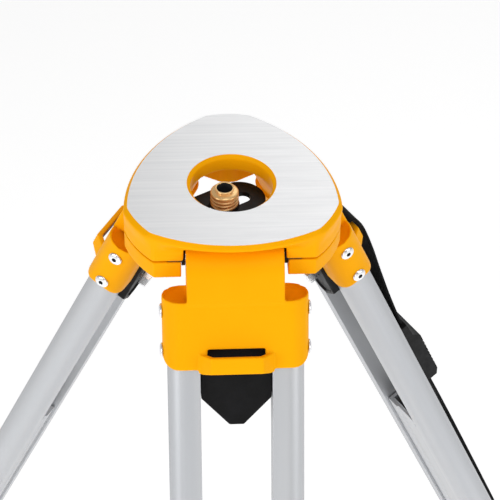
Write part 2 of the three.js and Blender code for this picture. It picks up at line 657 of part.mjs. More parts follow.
function named(name, geometry, surface, parent) {
  const mesh = new THREE.Mesh(geometry, surface.clone());
  mesh.name = name;
  parent.add(mesh);
}

const tripod = new THREE.Group();
const head = new THREE.Group();
head.position.z = PLATE_HEIGHT;
tripod.add(head);

named('head_casting', headCasting(), yellowPaint, head);
CORNER_AZIMUTHS.forEach((azimuth, i) => {
  const corner = new THREE.Group();
  corner.rotation.z = radians(azimuth - 90);
  head.add(corner);
  named(`hinge_cap_${i + 1}`, hingeCap(), yellowPaint, corner);
  named(`cap_bolt_${i + 1}`, capBolt().translate(0, CAP_BOLT_RADIUS, 0), zincSteel, corner);
});

const armPivot = new THREE.Group();
armPivot.rotation.z = radians(ARM_AZIMUTH);
armPivot.position.set(
  -ARM_PIVOT_FROM_AXIS * Math.cos(radians(ARM_AZIMUTH)),
  -ARM_PIVOT_FROM_AXIS * Math.sin(radians(ARM_AZIMUTH)), 0);
head.add(armPivot);
named('swing_arm', swingArm(), blackSteel, armPivot);
named('arm_pivot_bolt', armPivotBolt(), zincSteel, armPivot);
const screwGroup = new THREE.Group();
screwGroup.position.x = SCREW_FROM_PIVOT;
armPivot.add(screwGroup);
named('slot_washer', slotWasher(), blackPlastic, screwGroup);
named('thrust_washer', thrustWasher(), brass, screwGroup);
named('fixing_screw', fixingScrew(), brass, screwGroup);
named('fixing_knob', fixingKnob(), blackPlastic, screwGroup);

function addLeg(name, azimuth) {
  const sector = new THREE.Group();
  sector.rotation.z = radians(azimuth - 90);
  head.add(sector);
  const leg = new THREE.Group();
  leg.position.set(0, PIN_FROM_AXIS, -PIN_DROP);
  leg.rotation.x = SPLAY;
  sector.add(leg);
  named(`${name}_hinge_pin`, hingePin(), zincSteel, leg);
  named(`${name}_leg_casting`, legCasting(), yellowPaint, leg);
  named(`${name}_tube_a`, tube(), anodised, leg);
  named(`${name}_tube_b`, mirrorX(tube()), anodised, leg);
  named(`${name}_leg_plug`, legPlug(), blackPlastic, leg);
  named(`${name}_plug_bolt`, plugBolt(), zincSteel, leg);
  named(`${name}_clamp_housing`, clampHousing(), yellowPaint, leg);
  named(`${name}_clamp_shoe`, clampShoe(), brass, leg);
  const pivot = new THREE.Group();
  pivot.position.set(0, TUBE_PLANE + LEVER_PIN_OUT, -LEVER_PIN_DEPTH);
  leg.add(pivot);
  named(`${name}_clamp_lever`, clampLever(), blackPlastic, pivot);
  named(`${name}_lever_pin`, leverPin(), zincSteel, pivot);
  const drawn = new THREE.Group();
  drawn.position.z = -EXTENSION;
  leg.add(drawn);
  named(`${name}_lower_leg`, lowerLeg(), anodised, drawn);
  named(`${name}_foot`, foot(), yellowPaint, drawn);
  named(`${name}_spike`, spike(), zincSteel, drawn);
  return leg;
}

const legs = LEG_NAMES.map((name, i) => addLeg(name, LEG_AZIMUTHS[i]));
const strapLeg = legs[LEG_NAMES.indexOf('right')];
named('strap', strap(), webbing, strapLeg);
named('strap_buckle', strapBuckle(), blackPlastic, strapLeg);

// the footprint's bounding box is centred on the origin
tripod.updateMatrixWorld(true);
const footprint = new THREE.Box3().setFromObject(tripod, true).getCenter(new THREE.Vector3());
head.position.x = -footprint.x;
head.position.y = -footprint.y;

export default tripod;
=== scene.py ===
# Looks of a surveyor's tripod: flat head, twin-tube aluminium legs, cam clamps and a carrying strap.
# Pieces are modelled in millimetres in the frame of the head or of a leg, then placed in metres.

import json
import math

import bmesh
import bpy
from mathutils import Matrix, Vector


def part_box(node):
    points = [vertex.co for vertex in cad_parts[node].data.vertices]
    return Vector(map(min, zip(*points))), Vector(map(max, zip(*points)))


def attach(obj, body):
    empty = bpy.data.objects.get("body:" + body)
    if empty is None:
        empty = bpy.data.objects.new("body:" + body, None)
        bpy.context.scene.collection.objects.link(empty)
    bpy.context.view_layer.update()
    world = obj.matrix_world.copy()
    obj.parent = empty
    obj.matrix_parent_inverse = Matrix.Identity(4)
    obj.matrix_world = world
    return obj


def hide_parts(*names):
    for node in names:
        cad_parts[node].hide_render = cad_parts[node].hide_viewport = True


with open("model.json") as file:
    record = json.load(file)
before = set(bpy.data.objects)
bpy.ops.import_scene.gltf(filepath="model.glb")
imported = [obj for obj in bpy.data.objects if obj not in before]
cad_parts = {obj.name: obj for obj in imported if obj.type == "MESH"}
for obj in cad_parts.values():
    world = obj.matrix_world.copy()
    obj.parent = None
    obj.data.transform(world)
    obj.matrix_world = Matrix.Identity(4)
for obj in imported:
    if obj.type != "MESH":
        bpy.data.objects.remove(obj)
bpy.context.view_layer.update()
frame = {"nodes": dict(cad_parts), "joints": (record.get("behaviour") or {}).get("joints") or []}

# ---------------------------------------------------------------- places, from the frame

MM = 0.001
LEGS = ("front", "right", "left")
LEG_AZIMUTHS = {"front": -90, "right": 30, "left": 150}
CORNER_AZIMUTHS = (90, 210, 330)
JOINTS = {joint["name"]: joint for joint in frame["joints"]}


def leg_frame(leg):
    """Origin on the hinge pin, x along the pin, y outwards, z up the leg."""
    hinge = JOINTS[f"{leg}_leg_hinge"]
    x = Vector(hinge["axis"])
    z = -Vector(JOINTS[f"{leg}_leg_slide"]["axis"])
    turn = Matrix((x, z.cross(x), z)).transposed().to_4x4()
    return Matrix.Translation(hinge["pos_m"]) @ turn


def local_box(node, place):
    """Lowest and highest corner of a CAD node in a local frame, in millimetres."""
    inverse = place.inverted()
    points = [inverse @ v.co / MM for v in frame["nodes"][node].data.vertices]
    return (Vector(map(min, zip(*points))), Vector(map(max, zip(*points))))


LEG_FRAMES = {leg: leg_frame(leg) for leg in LEGS}
HEAD_AXIS = sum((place.translation for place in LEG_FRAMES.values()), Vector()) / len(LEGS)
PLATE_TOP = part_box("head_casting")[1].z
HEAD_FRAME = Matrix.Translation((HEAD_AXIS.x, HEAD_AXIS.y, PLATE_TOP))
PIN = HEAD_FRAME.inverted() @ LEG_FRAMES["right"].translation / MM
PIN_FROM_AXIS = PIN.xy.length
PIN_DROP = -PIN.z


def sector_frame(azimuth):
    """The head's frame turned so that +y faces an azimuth."""
    return HEAD_FRAME @ Matrix.Rotation(math.radians(azimuth - 90), 4, "Z")


# ---------------------------------------------------------------- sizes, in millimetres

# head, heights below the plate's top face
CORNER_RADIUS = 61.5
RIM_CORNER_RADIUS = 64.2
SKIRT_CORNER_RADIUS = 62.9
SIDE_ARC_RADIUS = 93.3
SIDE_ARC_CENTRE = -40.4
RIM_CHAMFER = 2.2
HOLE_RADIUS = 23
HOLE_CHAMFER = 2
PLATE_THICKNESS = 10
SKIRT_FLAT = 44
SKIRT_FLAT_TOP = 12
PARTING = -local_box("head_casting", HEAD_FRAME)[0].z
HINGE_SLOT_HALF = 28.2
PIN_RADIUS = 4
PIN_HALF_LENGTH = 37
BUSH_RADIUS = 5.6
CAP_LOW, CAP_HIGH = local_box("hinge_cap_1", HEAD_FRAME)
CAP_HALF = 29.4
CAP_OUTER_RADIUS = 62.6
CAP_INNER_RADIUS = 38
CAP_BOLT_RADIUS = 50

# fixing screw
SCREW_RADIUS = 7.94
SCREW_PITCH = 2.31
THREAD_DEPTH = 1.1
BORE_RADIUS = 4.4

# legs, in the leg's frame
TUBE_PLANE = 1.66
TUBE_FLAT = 20
TUBE_DEPTH = 9.5
TUBE_ROUND = 28.7
TUBE_WALL = 1.8
SHELL = 2.5
TONGUE_HALF = 26.9
BARREL_RADIUS = 8.5
BODY_TOP = 20.4
BODY_FRONT_TOP = 23.5
BODY_BOTTOM = 62.8
DISH_HEIGHT = -22.2
DISH_DEPTH = 5
RIVET_HEIGHTS = (-31.2, -54.3)
BAR_TOP = 53.2
BAR_BOTTOM = 64.5
BAR_HALF = 14.5
BAR_FACE = 19.7
BAR_BEVEL_TOP = 62.7
STRAP_HALF = 12.5
STRAP_THICKNESS = 1.6
LOWER_HALF = 19.3
LOWER_DEPTH = 7.7

# ---------------------------------------------------------------- camera

CAMERA_AZIMUTH = -3.08
CAMERA_ELEVATION = 39.96
CAMERA_DISTANCE = 1.2795
CAMERA_ROLL = 1.1
CAMERA_LENS = 165.6
AIM_RIGHT = 0.0107                  # aim point from the plate's centre, across the view
AIM_DOWN = 0.0374


def make_camera():
    azimuth, elevation = math.radians(CAMERA_AZIMUTH), math.radians(CAMERA_ELEVATION)
    back = Vector((math.sin(azimuth) * math.cos(elevation), -math.cos(azimuth) * math.cos(elevation),
                   math.sin(elevation)))
    right = Vector((math.cos(azimuth), math.sin(azimuth), 0))
    centre = HEAD_FRAME.translation
    data = bpy.data.cameras.new("camera")
    data.lens = CAMERA_LENS
    data.sensor_width = 36
    data.clip_end = 50
    camera = bpy.data.objects.new("camera", data)
    bpy.context.scene.collection.objects.link(camera)
    camera.location = centre + back * CAMERA_DISTANCE
    aim = centre + right * AIM_RIGHT - back.cross(right) * AIM_DOWN
    look = (aim - camera.location).to_track_quat("-Z", "Y").to_matrix()
    camera.rotation_euler = (look @ Matrix.Rotation(math.radians(CAMERA_ROLL), 3, "Z")).to_euler()
    bpy.context.scene.camera = camera


make_camera()

# ---------------------------------------------------------------- floor and light

# azimuth and elevation in degrees, distance and size in metres, power in watts
LIGHTS = {
    "key": (-145, 20, 2.2, 1.3, 20),
    "fill": (-35, 18, 2.4, 1.3, 16.5),
    "front": (-96, 2, 3, 2, 8),
    "top": (-80, 64, 2.2, 1.4, 8),
    "back": (62, 42, 2.6, 2.2, 14.5),
}
LIGHT_TARGET = HEAD_FRAME.translation * 0.8
WORLD_STRENGTH = 0.34
FLOOR_SIZE = 40
FLOOR_DROP = 0.0005
FLOOR_GLOW = 0.4


def area_light(name, azimuth, elevation, distance, size, power):
    data = bpy.data.lights.new(name, "AREA")
    data.shape = "DISK"
    data.size = size
    data.energy = power
    light = bpy.data.objects.new(name, data)
    bpy.context.scene.collection.objects.link(light)
    a, e = math.radians(azimuth), math.radians(elevation)
    towards = Vector((math.cos(a) * math.cos(e), math.sin(a) * math.cos(e), math.sin(e)))
    light.location = LIGHT_TARGET + towards * distance
    light.rotation_euler = (-towards).to_track_quat("-Z", "Y").to_euler()


def make_studio():
    scene = bpy.context.scene
    scene.view_settings.view_transform = "Standard"
    world = bpy.data.worlds.new("studio")
    world.use_nodes = True
    world.node_tree.nodes["Background"].inputs["Color"].default_value = (1, 1, 1, 1)
    world.node_tree.nodes["Background"].inputs["Strength"].default_value = WORLD_STRENGTH
    scene.world = world
    for name, values in LIGHTS.items():
        area_light(name, *values)
    bpy.ops.mesh.primitive_plane_add(size=FLOOR_SIZE, location=(0, 0, -FLOOR_DROP))
    floor = bpy.context.object
    floor.name = "floor"
    surface = bpy.data.materials.new("pale_floor")
    surface.use_nodes = True
    shader = surface.node_tree.nodes["Principled BSDF"]
    shader.inputs["Base Color"].default_value = (0.94, 0.94, 0.94, 1)
    shader.inputs["Roughness"].default_value = 0.7
    shader.inputs["Emission Color"].default_value = (1, 1, 1, 1)
    shader.inputs["Emission Strength"].default_value = FLOOR_GLOW
    floor.data.materials.append(surface)


make_studio()

# ---------------------------------------------------------------- materials


class Surface:
    """A Principled material and the textures that drive it."""

    def __init__(self, name, roughness, metallic=0.0, **sockets):
        self.material = bpy.data.materials.new(name)
        self.material.use_nodes = True
        self.nodes = self.material.node_tree.nodes
        self.links = self.material.node_tree.links
        self.shader = self.nodes["Principled BSDF"]
        self.shader.inputs["Roughness"].default_value = roughness
        self.shader.inputs["Metallic"].default_value = metallic
        for socket, value in sockets.items():
            self.shader.inputs[socket.replace("_", " ")].default_value = value
        self.normal = None

    def texture(self, kind, scale, stretch=(1, 1, 1), turn=0, space="Object", **settings):
        coordinates = self.nodes.new("ShaderNodeTexCoord")
        mapping = self.nodes.new("ShaderNodeMapping")
        mapping.inputs["Scale"].default_value = stretch
        mapping.inputs["Rotation"].default_value = (0, 0, math.radians(turn))
        self.links.new(coordinates.outputs[space], mapping.inputs["Vector"])
        node = self.nodes.new(kind)
        self.links.new(mapping.outputs["Vector"], node.inputs["Vector"])
        node.inputs["Scale"].default_value = scale
        for socket, value in settings.items():
            node.inputs[socket.replace("_", " ")].default_value = value
        return node.outputs["Distance" if kind == "ShaderNodeTexVoronoi" else "Fac"]

    def noise(self, scale, stretch=(1, 1, 1), **settings):
        return self.texture("ShaderNodeTexNoise", scale, stretch, **settings)

    def colour(self, source, low, high, start=0.3, end=0.7):
        ramp = self.nodes.new("ShaderNodeValToRGB")
        ramp.color_ramp.elements[0].position, ramp.color_ramp.elements[1].position = start, end
        ramp.color_ramp.elements[0].color = (*low, 1)
        ramp.color_ramp.elements[1].color = (*high, 1)
        self.links.new(source, ramp.inputs["Fac"])
        self.links.new(ramp.outputs["Color"], self.shader.inputs["Base Color"])

    def gloss(self, source, low, high):
        spread = self.nodes.new("ShaderNodeMapRange")
        spread.inputs["From Min"].default_value = 0.3
        spread.inputs["From Max"].default_value = 0.7
        spread.inputs["To Min"].default_value = low
        spread.inputs["To Max"].default_value = high
        self.links.new(source, spread.inputs["Value"])
        self.links.new(spread.outputs["Result"], self.shader.inputs["Roughness"])

    def bump(self, source, height, strength=1.0):
        node = self.nodes.new("ShaderNodeBump")
        node.inputs["Distance"].default_value = height * MM
        node.inputs["Strength"].default_value = strength
        self.links.new(source, node.inputs["Height"])
        if self.normal:
            self.links.new(self.normal, node.inputs["Normal"])
        self.normal = node.outputs["Normal"]
        self.links.new(self.normal, self.shader.inputs["Normal"])


def yellow_paint():
    """Stoved satin paint over a casting: faint orange peel and slow colour drift."""
    s = Surface("yellow_paint", 0.4, Specular_IOR_Level=0.03)
    s.colour(s.noise(22, Detail=3), (0.94, 0.4, 0.001), (0.98, 0.43, 0.002))
    s.gloss(s.noise(180, Detail=2), 0.36, 0.45)
    s.bump(s.noise(420, Detail=2), 0.035)
    s.bump(s.noise(60, Detail=1), 0.05)
    return s.material


def machined_aluminium():
    """Bare milled face with faint overlapping tool marks."""
    s = Surface("machined_aluminium", 0.34, 0.72)
    s.colour(s.noise(9, (1, 60, 1), turn=32, Detail=4), (0.76, 0.765, 0.775), (0.84, 0.84, 0.845))
    s.gloss(s.noise(14, (2, 90, 1), turn=32, Detail=3), 0.3, 0.42)
    s.bump(s.noise(30, (1, 60, 1), turn=32, Detail=2), 0.012)
    return s.material


def anodised_tube():
    """Satin natural anodising over lengthwise extrusion lines."""
    s = Surface("anodised_tube", 0.45, 0.85)
    s.colour(s.noise(55, (1, 1, 0.02), Detail=3), (0.5, 0.515, 0.54), (0.58, 0.59, 0.605))
    s.gloss(s.noise(160, (1, 1, 0.02), Detail=2), 0.4, 0.5)
    s.bump(s.noise(500, (1, 1, 0.01), Detail=2), 0.01)
    return s.material


def zinc_steel():
    s = Surface("zinc_steel", 0.2, 0.9)
    s.colour(s.noise(90, Detail=3), (0.84, 0.85, 0.87), (0.94, 0.94, 0.95))
    s.gloss(s.noise(250, Detail=3), 0.14, 0.27)
    s.bump(s.noise(700, Detail=2), 0.012)
    return s.material


def spike_steel():
    s = Surface("spike_steel", 0.4, 1.0)
    s.colour(s.noise(60, Detail=5), (0.28, 0.275, 0.27), (0.5, 0.5, 0.51))
    s.gloss(s.noise(120, Detail=4), 0.3, 0.55)
    s.bump(s.noise(900, (1, 1, 12), Detail=2), 0.03)
    return s.material


def black_steel():
    s = Surface("black_steel", 0.42, Specular_IOR_Level=0.2)
    s.colour(s.noise(50, Detail=3), (0.002, 0.002, 0.002), (0.006, 0.006, 0.006))
    s.gloss(s.noise(150, Detail=2), 0.36, 0.5)
    s.bump(s.noise(800, Detail=2), 0.02)
    return s.material


def black_plastic():
    """Moulded nylon with a fine spark grain."""
    s = Surface("black_plastic", 0.5, Specular_IOR_Level=0.16)
    s.colour(s.noise(70, Detail=3), (0.002, 0.002, 0.002), (0.006, 0.006, 0.007))
    s.gloss(s.noise(300, Detail=2), 0.44, 0.58)
    s.bump(s.texture("ShaderNodeTexVoronoi", 1300), 0.03)
    return s.material


# Painted shade: flat near-black for the insides of bores and hollows, which are dark only from shade.
def painted_shade_black():
    s = Surface("painted_shade_black", 0.8)
    s.colour(s.noise(400), (0.002, 0.002, 0.002), (0.006, 0.006, 0.006))
    s.bump(s.noise(900), 0.03)
    return s.material


def brass():
    s = Surface("brass", 0.3, 0.6)
    s.colour(s.noise(120, Detail=3), (0.86, 0.55, 0.23), (0.96, 0.66, 0.32))
    s.gloss(s.noise(200, (1, 1, 8), Detail=2), 0.24, 0.38)
    s.bump(s.noise(300, (1, 1, 20), Detail=2), 0.012)
    return s.material


def webbing():
    """Woven ribs across the band and a fine lengthwise twill; the band's map is in metres."""
    s = Surface("webbing", 0.85, Specular_IOR_Level=0.15, Sheen_Weight=0.04, Sheen_Roughness=0.5)
    s.colour(s.noise(160, Detail=4), (0.002, 0.002, 0.002), (0.006, 0.006, 0.007))
    s.gloss(s.noise(500, Detail=2), 0.75, 0.95)
    ribs = s.texture("ShaderNodeTexWave", 120, (0, 1, 0), space="UV", Distortion=0.6, Detail=1)
    cords = s.texture("ShaderNodeTexWave", 180, (1, 0.35, 0), space="UV", Distortion=0.4)
    s.bump(ribs, 0.18)
    s.bump(cords, 0.12)
    return s.material


SURFACES = {
    "yellow_paint": yellow_paint(),
    "machined_face": machined_aluminium(),
    "anodised_tube": anodised_tube(),
    "zinc_steel": zinc_steel(),
    "spike_steel": spike_steel(),
    "black_steel": black_steel(),
    "black_plastic": black_plastic(),
    # the "recess" surface is painted shade for bores and hollows, not a colour the parts have
    "recess": painted_shade_black(),
    "brass": brass(),
    "webbing": webbing(),
}

# ---------------------------------------------------------------- mesh helpers, in millimetres

HALF_TURN = math.pi
QUARTER = math.pi / 2


def new_object(name, vertices, faces):
    data = bpy.data.meshes.new(name)
    data.from_pydata(vertices, [], faces)
    work = bmesh.new()
    work.from_mesh(data)
    bmesh.ops.recalc_face_normals(work, faces=work.faces)
    work.to_mesh(data)
    work.free()
    obj = bpy.data.objects.new(name, data)
    bpy.context.scene.collection.objects.link(obj)
    return obj


def bake(obj):
    """Applies the object's modifiers."""
    evaluated = obj.evaluated_get(bpy.context.evaluated_depsgraph_get())
    data = bpy.data.meshes.new_from_object(evaluated)
    obj.modifiers.clear()
    obj.data = data
    return obj


def arc(x, y, radius, start, end, steps=16):
    angles = (start + (end - start) * i / steps for i in range(steps + 1))
    return [(x + radius * math.cos(a), y + radius * math.sin(a)) for a in angles]


def curve(start, control, end, steps=10):
    """Quadratic curve without its first point."""
    points = []
    for i in range(1, steps + 1):
        t = i / steps
        points.append(tuple((1 - t) ** 2 * s + 2 * t * (1 - t) * c + t * t * e
                            for s, c, e in zip(start, control, end)))
    return points


ORDER = {"z": (0, 1, 2), "x": (2, 0, 1), "y": (0, 2, 1)}


def stack(name, loops, along="z", closed=False):
    """Solid through loops of (u, v, w) points of equal count; ends capped unless the stack closes."""
    count = len(loops[0])
    vertices = [[point[i] for i in ORDER[along]] for loop in loops for point in loop]
    faces = []
    for level in range(len(loops) if closed else len(loops) - 1):
        here, above = level * count, (level + 1) % len(loops) * count
        faces += [(here + i, here + (i + 1) % count, above + (i + 1) % count, above + i)
                  for i in range(count)]
    if not closed:
        faces += [list(range(count)), list(range(len(vertices) - count, len(vertices)))]
    return new_object(name, vertices, faces)


def prism(shape, low, high, along="z"):
    return stack("prism", [[(u, v, low) for u, v in shape], [(u, v, high) for u, v in shape]], along)


def pipe(name, outer, inner, low, high):
    """Hollow extrusion between two outlines of equal count."""
    loops = [[(u, v, w) for u, v in shape]
             for shape, w in ((outer, low), (outer, high), (inner, high), (inner, low))]
    return stack(name, loops, closed=True)


def block(x0, x1, y0, y1, z0, z1):
    return prism([(x0, y0), (x1, y0), (x1, y1), (x0, y1)], z0, z1)


def rod(radius, low, high, x=0, y=0, along="z", sides=48):
    return prism(arc(x, y, radius, 0, 2 * HALF_TURN, sides)[:-1], low, high, along)


def lathe(name, profile, sides=64):
    """Closed profile of (radius, height) points turned about z; points on the axis are shared."""
    vertices, rings, faces = [], [], []
    for radius, height in profile:
        start = len(vertices)
        turns = 1 if radius < 1e-6 else sides
        vertices += [(radius * math.cos(2 * HALF_TURN * i / sides),
                      radius * math.sin(2 * HALF_TURN * i / sides), height) for i in range(turns)]
        rings.append((start, turns))
    for (a, a_turns), (b, b_turns) in zip(rings, rings[1:] + rings[:1]):
        if a_turns == 1 and b_turns == 1:
            continue
        for i in range(sides):
            j = (i + 1) % sides
            face = [a + i % a_turns, a + j % a_turns, b + j % b_turns, b + i % b_turns]
            faces.append(list(dict.fromkeys(face)))
    return new_object(name, vertices, faces)


def combine(obj, operation, tools):
    for tool in tools:
        step = obj.modifiers.new(operation, "BOOLEAN")
        step.operation = operation
        step.solver = "EXACT"
        step.object = tool
    bake(obj)
    for tool in tools:
        bpy.data.objects.remove(tool)
    return obj


def cut(obj, *tools):
    return combine(obj, "DIFFERENCE", tools)


def join(obj, *tools):
    return combine(obj, "UNION", tools)


def common(obj, *tools):
    return combine(obj, "INTERSECT", tools)


def shift(obj, x=0, y=0, z=0, turn=0):
    obj.data.transform(Matrix.Translation((x, y, z)) @ Matrix.Rotation(math.radians(turn), 4, "Z"))
    return obj


def mirrored(obj):
    obj.data.transform(Matrix.Scale(-1, 4, (1, 0, 0)))
    obj.data.flip_normals()
    return obj


def cast(obj, voxel=0.55, rounds=6, keep=0.35):
    """Rounds every edge and fills every inner corner, as a painted casting has them."""
    remesh = obj.modifiers.new("voxels", "REMESH")
    remesh.mode = "VOXEL"
    remesh.voxel_size = voxel
    remesh.use_smooth_shade = True
    relax = obj.modifiers.new("relax", "SMOOTH")
    relax.factor = 0.5
    relax.iterations = rounds
    thin = obj.modifiers.new("thin", "DECIMATE")
    thin.ratio = keep
    return bake(obj)


def piece(name, mesh, place, body, slot, replaces=(), bevel=None):
    """Shows a finished millimetre mesh in metres, riding on a body and standing for CAD nodes."""
    obj = bpy.data.objects.new(name, mesh)
    bpy.context.scene.collection.objects.link(obj)
    obj.matrix_world = place
    if not mesh.materials:
        mesh.materials.append(SURFACES[slot])
    if bevel:
        soften(obj, bevel)
    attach(obj, body)
    if replaces:
        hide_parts(*replaces)
    return obj


def soften(obj, width, segments=2):
    """Small rounded edges with flat faces kept flat; width in millimetres."""
    edge = obj.modifiers.new("edges", "BEVEL")
    edge.width = width * MM
    edge.segments = segments
    edge.limit_method = "ANGLE"
    edge.angle_limit = math.radians(34)
    edge.harden_normals = True
    normals = obj.modifiers.new("normals", "WEIGHTED_NORMAL")
    normals.keep_sharp = True


def finished(obj):
    """The millimetre object's mesh in metres, smooth shaded; the object itself goes."""
    data = obj.data
    data.transform(Matrix.Scale(MM, 4))
    data.shade_smooth()
    bpy.data.objects.remove(obj)
    return data


# ---------------------------------------------------------------- head


def from_side(azimuth):
    """Angle from the nearest side's middle, which faces a leg."""
    turn = azimuth - math.radians(LEG_AZIMUTHS["front"])
    sector = 2 * HALF_TURN / 3
    return turn - sector * round(turn / sector)


def plate_radius(azimuth, offset, corner_radius):
    side = from_side(azimuth)
    across = SIDE_ARC_CENTRE * math.sin(side)
    reach = SIDE_ARC_CENTRE * math.cos(side) + math.sqrt((SIDE_ARC_RADIUS + offset) ** 2 - across ** 2)
    return min(reach, corner_radius)


def skirt_radius(azimuth):
    return min(SKIRT_FLAT / math.cos(from_side(azimuth)), SKIRT_CORNER_RADIUS)


def pin_groove(azimuth):
    groove = rod(PIN_RADIUS + 0.35, -PIN_HALF_LENGTH - 0.3, PIN_HALF_LENGTH + 0.3,
                 x=PIN_FROM_AXIS, y=-PIN_DROP, along="x")
    return shift(groove, turn=azimuth - 90)


def head_shell():
    """Cast with some metal to spare on top, then milled flat at z = 0."""
    spare = 1.2
    levels = [(-PARTING, skirt_radius), (-SKIRT_FLAT_TOP, skirt_radius)]
    steps = 7
    for i in range(1, steps):
        share = i / steps
        ease = share * share * (3 - 2 * share)
        height = -SKIRT_FLAT_TOP + share * (SKIRT_FLAT_TOP - RIM_CHAMFER)
        levels.append((height, lambda a, ease=ease: skirt_radius(a) * (1 - ease)
                       + plate_radius(a, RIM_CHAMFER, RIM_CORNER_RADIUS) * ease))
    levels += [
        (-RIM_CHAMFER, lambda a: plate_radius(a, RIM_CHAMFER, RIM_CORNER_RADIUS)),
        (spare, lambda a: plate_radius(a, -spare, CORNER_RADIUS - 1.2 * spare)),
        (spare, lambda a: HOLE_RADIUS + HOLE_CHAMFER + spare),
        (-HOLE_CHAMFER, lambda a: HOLE_RADIUS),
        (-PARTING, lambda a: HOLE_RADIUS),
    ]
    sides = 216
    angles = [2 * HALF_TURN * i / sides for i in range(sides)]
    loops = [[(radius(a) * math.cos(a), radius(a) * math.sin(a), height) for a in angles]
             for height, radius in levels]
    shell = stack("head", loops, closed=True)
    tools = []
    for azimuth in LEG_AZIMUTHS.values():
        slot = block(-HINGE_SLOT_HALF, HINGE_SLOT_HALF, 0, 80, -PARTING - 5, -PLATE_THICKNESS)
        tools += [shift(slot, turn=azimuth - 90), pin_groove(azimuth)]
    for azimuth in CORNER_AZIMUTHS:
        tools.append(shift(rod(3.3, -PARTING - 5, -8, y=CAP_BOLT_RADIUS), turn=azimuth - 90))
    pivot = local_box("arm_pivot_bolt", HEAD_FRAME)
    x, y = (pivot[0].x + pivot[1].x) / 2, (pivot[0].y + pivot[1].y) / 2
    tools += [rod(3.3, -PARTING - 5, -4, x=x, y=y), rod(10, -PARTING - 5, -PLATE_THICKNESS, x=x, y=y)]
    cast(cut(shell, *tools), voxel=0.5)
    return mill_top(shell)


def mill_top(obj):
    """Cuts everything above z = 0 away and closes the cut with a bare metal face."""
    work = bmesh.new()
    work.from_mesh(obj.data)
    geometry = work.verts[:] + work.edges[:] + work.faces[:]
    sliced = bmesh.ops.bisect_plane(work, geom=geometry, plane_co=(0, 0, 0), plane_no=(0, 0, 1),
                                    clear_outer=True)
    rim = [item for item in sliced["geom_cut"] if isinstance(item, bmesh.types.BMEdge)]
    face = bmesh.ops.triangle_fill(work, use_beauty=True, use_dissolve=False, edges=rim)
    for item in face["geom"]:
        if isinstance(item, bmesh.types.BMFace):
            item.material_index = 1
            item.normal_update()
            if item.normal.z < 0:
                item.normal_flip()
    for edge in rim:
        if edge.is_valid:
            edge.smooth = False
    work.to_mesh(obj.data)
    work.free()
    obj.data.materials.append(SURFACES["yellow_paint"])
    obj.data.materials.append(SURFACES["machined_face"])
    return obj


def corner_cap():
    """Wedge that clamps two pin ends; made for the corner at +y."""
    side = math.radians(60)

    def at(out, lateral):
        return (out * math.sin(side) - lateral * math.cos(side),
                out * math.cos(side) + lateral * math.sin(side))

    inner = at(SKIRT_FLAT, CAP_HALF)
    outer = at(SKIRT_FLAT, math.sqrt(CAP_OUTER_RADIUS ** 2 - SKIRT_FLAT ** 2))
    throat = at(CAP_HALF / math.tan(side) + 6, CAP_HALF)
    end = math.atan2(outer[1], outer[0])
    left = (-throat[0], throat[1])
    shape = [inner] + arc(0, 0, CAP_OUTER_RADIUS, end, HALF_TURN - end, 40)
    shape += [(-inner[0], inner[1]), left] + curve(left, (0, CAP_INNER_RADIUS - 3), throat, 16)
    cap = prism(shape, CAP_LOW.z, CAP_HIGH.z)
    tools = [rod(3.4, CAP_LOW.z - 1, CAP_HIGH.z + 1, y=CAP_BOLT_RADIUS)]
    tools += [pin_groove(90 + turn) for turn in (-60, 60)]
    return cast(cut(cap, *tools), voxel=0.45)


def hex_bolt(across, head, shank, length, washer=0):
    """Bolt pointing up with its chamfered head under z = 0."""
    corner = across / math.sqrt(3)
    prism_part = prism(arc(0, 0, corner, 0, 2 * HALF_TURN, 6)[:-1], -head, 0)
    crown = lathe("crown", [(0, -head), (across * 0.46, -head), (corner + 0.4, -head + across * 0.09),
                            (corner + 0.4, 0), (0, 0)], 48)
    common(prism_part, crown)
    parts = [rod(shank, -0.5, length)]
    if washer:
        parts.append(rod(washer, -0.1, 0.9))
    return join(prism_part, *parts)


# ---------------------------------------------------------------- fixing screw


def thread_shape(turn, height, high):
    """Radius of a threaded shaft at an angle and height, faded out at its upper end."""
    phase = (height / SCREW_PITCH - turn / (2 * HALF_TURN)) % 1
    ridge = min(1, max(0, 3.4 * abs(phase - 0.5) - 0.1))
    fade = min(1, max(0, (high - height) / 0.8))
    return SCREW_RADIUS - THREAD_DEPTH * (1 - ridge) * fade


def fixing_screw():
    """Hollow brass screw: tip ring, helical thread, shoulder and a long neck."""
    low, high = local_box("fixing_screw", HEAD_FRAME)
    shoulder = local_box("slot_washer", HEAD_FRAME)[1].z + 0.3
    top = high.z
    thread_top = top - 3.4
    sides = 96
    rows = [(2, low.z), (3.9, low.z), (3.9, shoulder), (SCREW_RADIUS, shoulder)]
    steps = 64
    thread = [shoulder + 0.4 + (thread_top - shoulder - 0.4) * i / steps for i in range(steps + 1)]
    tip = [(7.8, top - 3), (7.3, top - 2.5), (6.5, top - 2.15), (5.6, top - 2), (4.95, top - 1.95),
           (4.85, top - 1.75), (4.95, top - 1.5), (5.35, top - 1.2), (5.45, top - 0.7),
           (5.35, top - 0.25), (5.05, top), (BORE_RADIUS + 0.3, top), (BORE_RADIUS, top - 0.35),
           (BORE_RADIUS, top - 8), (2, top - 9.5)]
    angles = [2 * HALF_TURN * i / sides for i in range(sides)]

    def ring(radius, height):
        return [(radius * math.cos(a), radius * math.sin(a), height) for a in angles]

    def thread_ring(height):
        return [(thread_shape(a, height, thread_top) * math.cos(a),
                 thread_shape(a, height, thread_top) * math.sin(a), height) for a in angles]

    loops = [ring(*row) for row in rows] + [thread_ring(h) for h in thread] + [ring(*row) for row in tip]
    obj = stack("screw", loops, closed=True)
    obj.data.materials.append(SURFACES["brass"])
    obj.data.materials.append(SURFACES["recess"])
    # The bore's inner wall gets the near-black material as painted shade; the real bore is bare brass.
    for face in obj.data.polygons:
        face.material_index = int(face.center.xy.length < BORE_RADIUS + 0.05 and face.center.z > top - 10)
    return obj


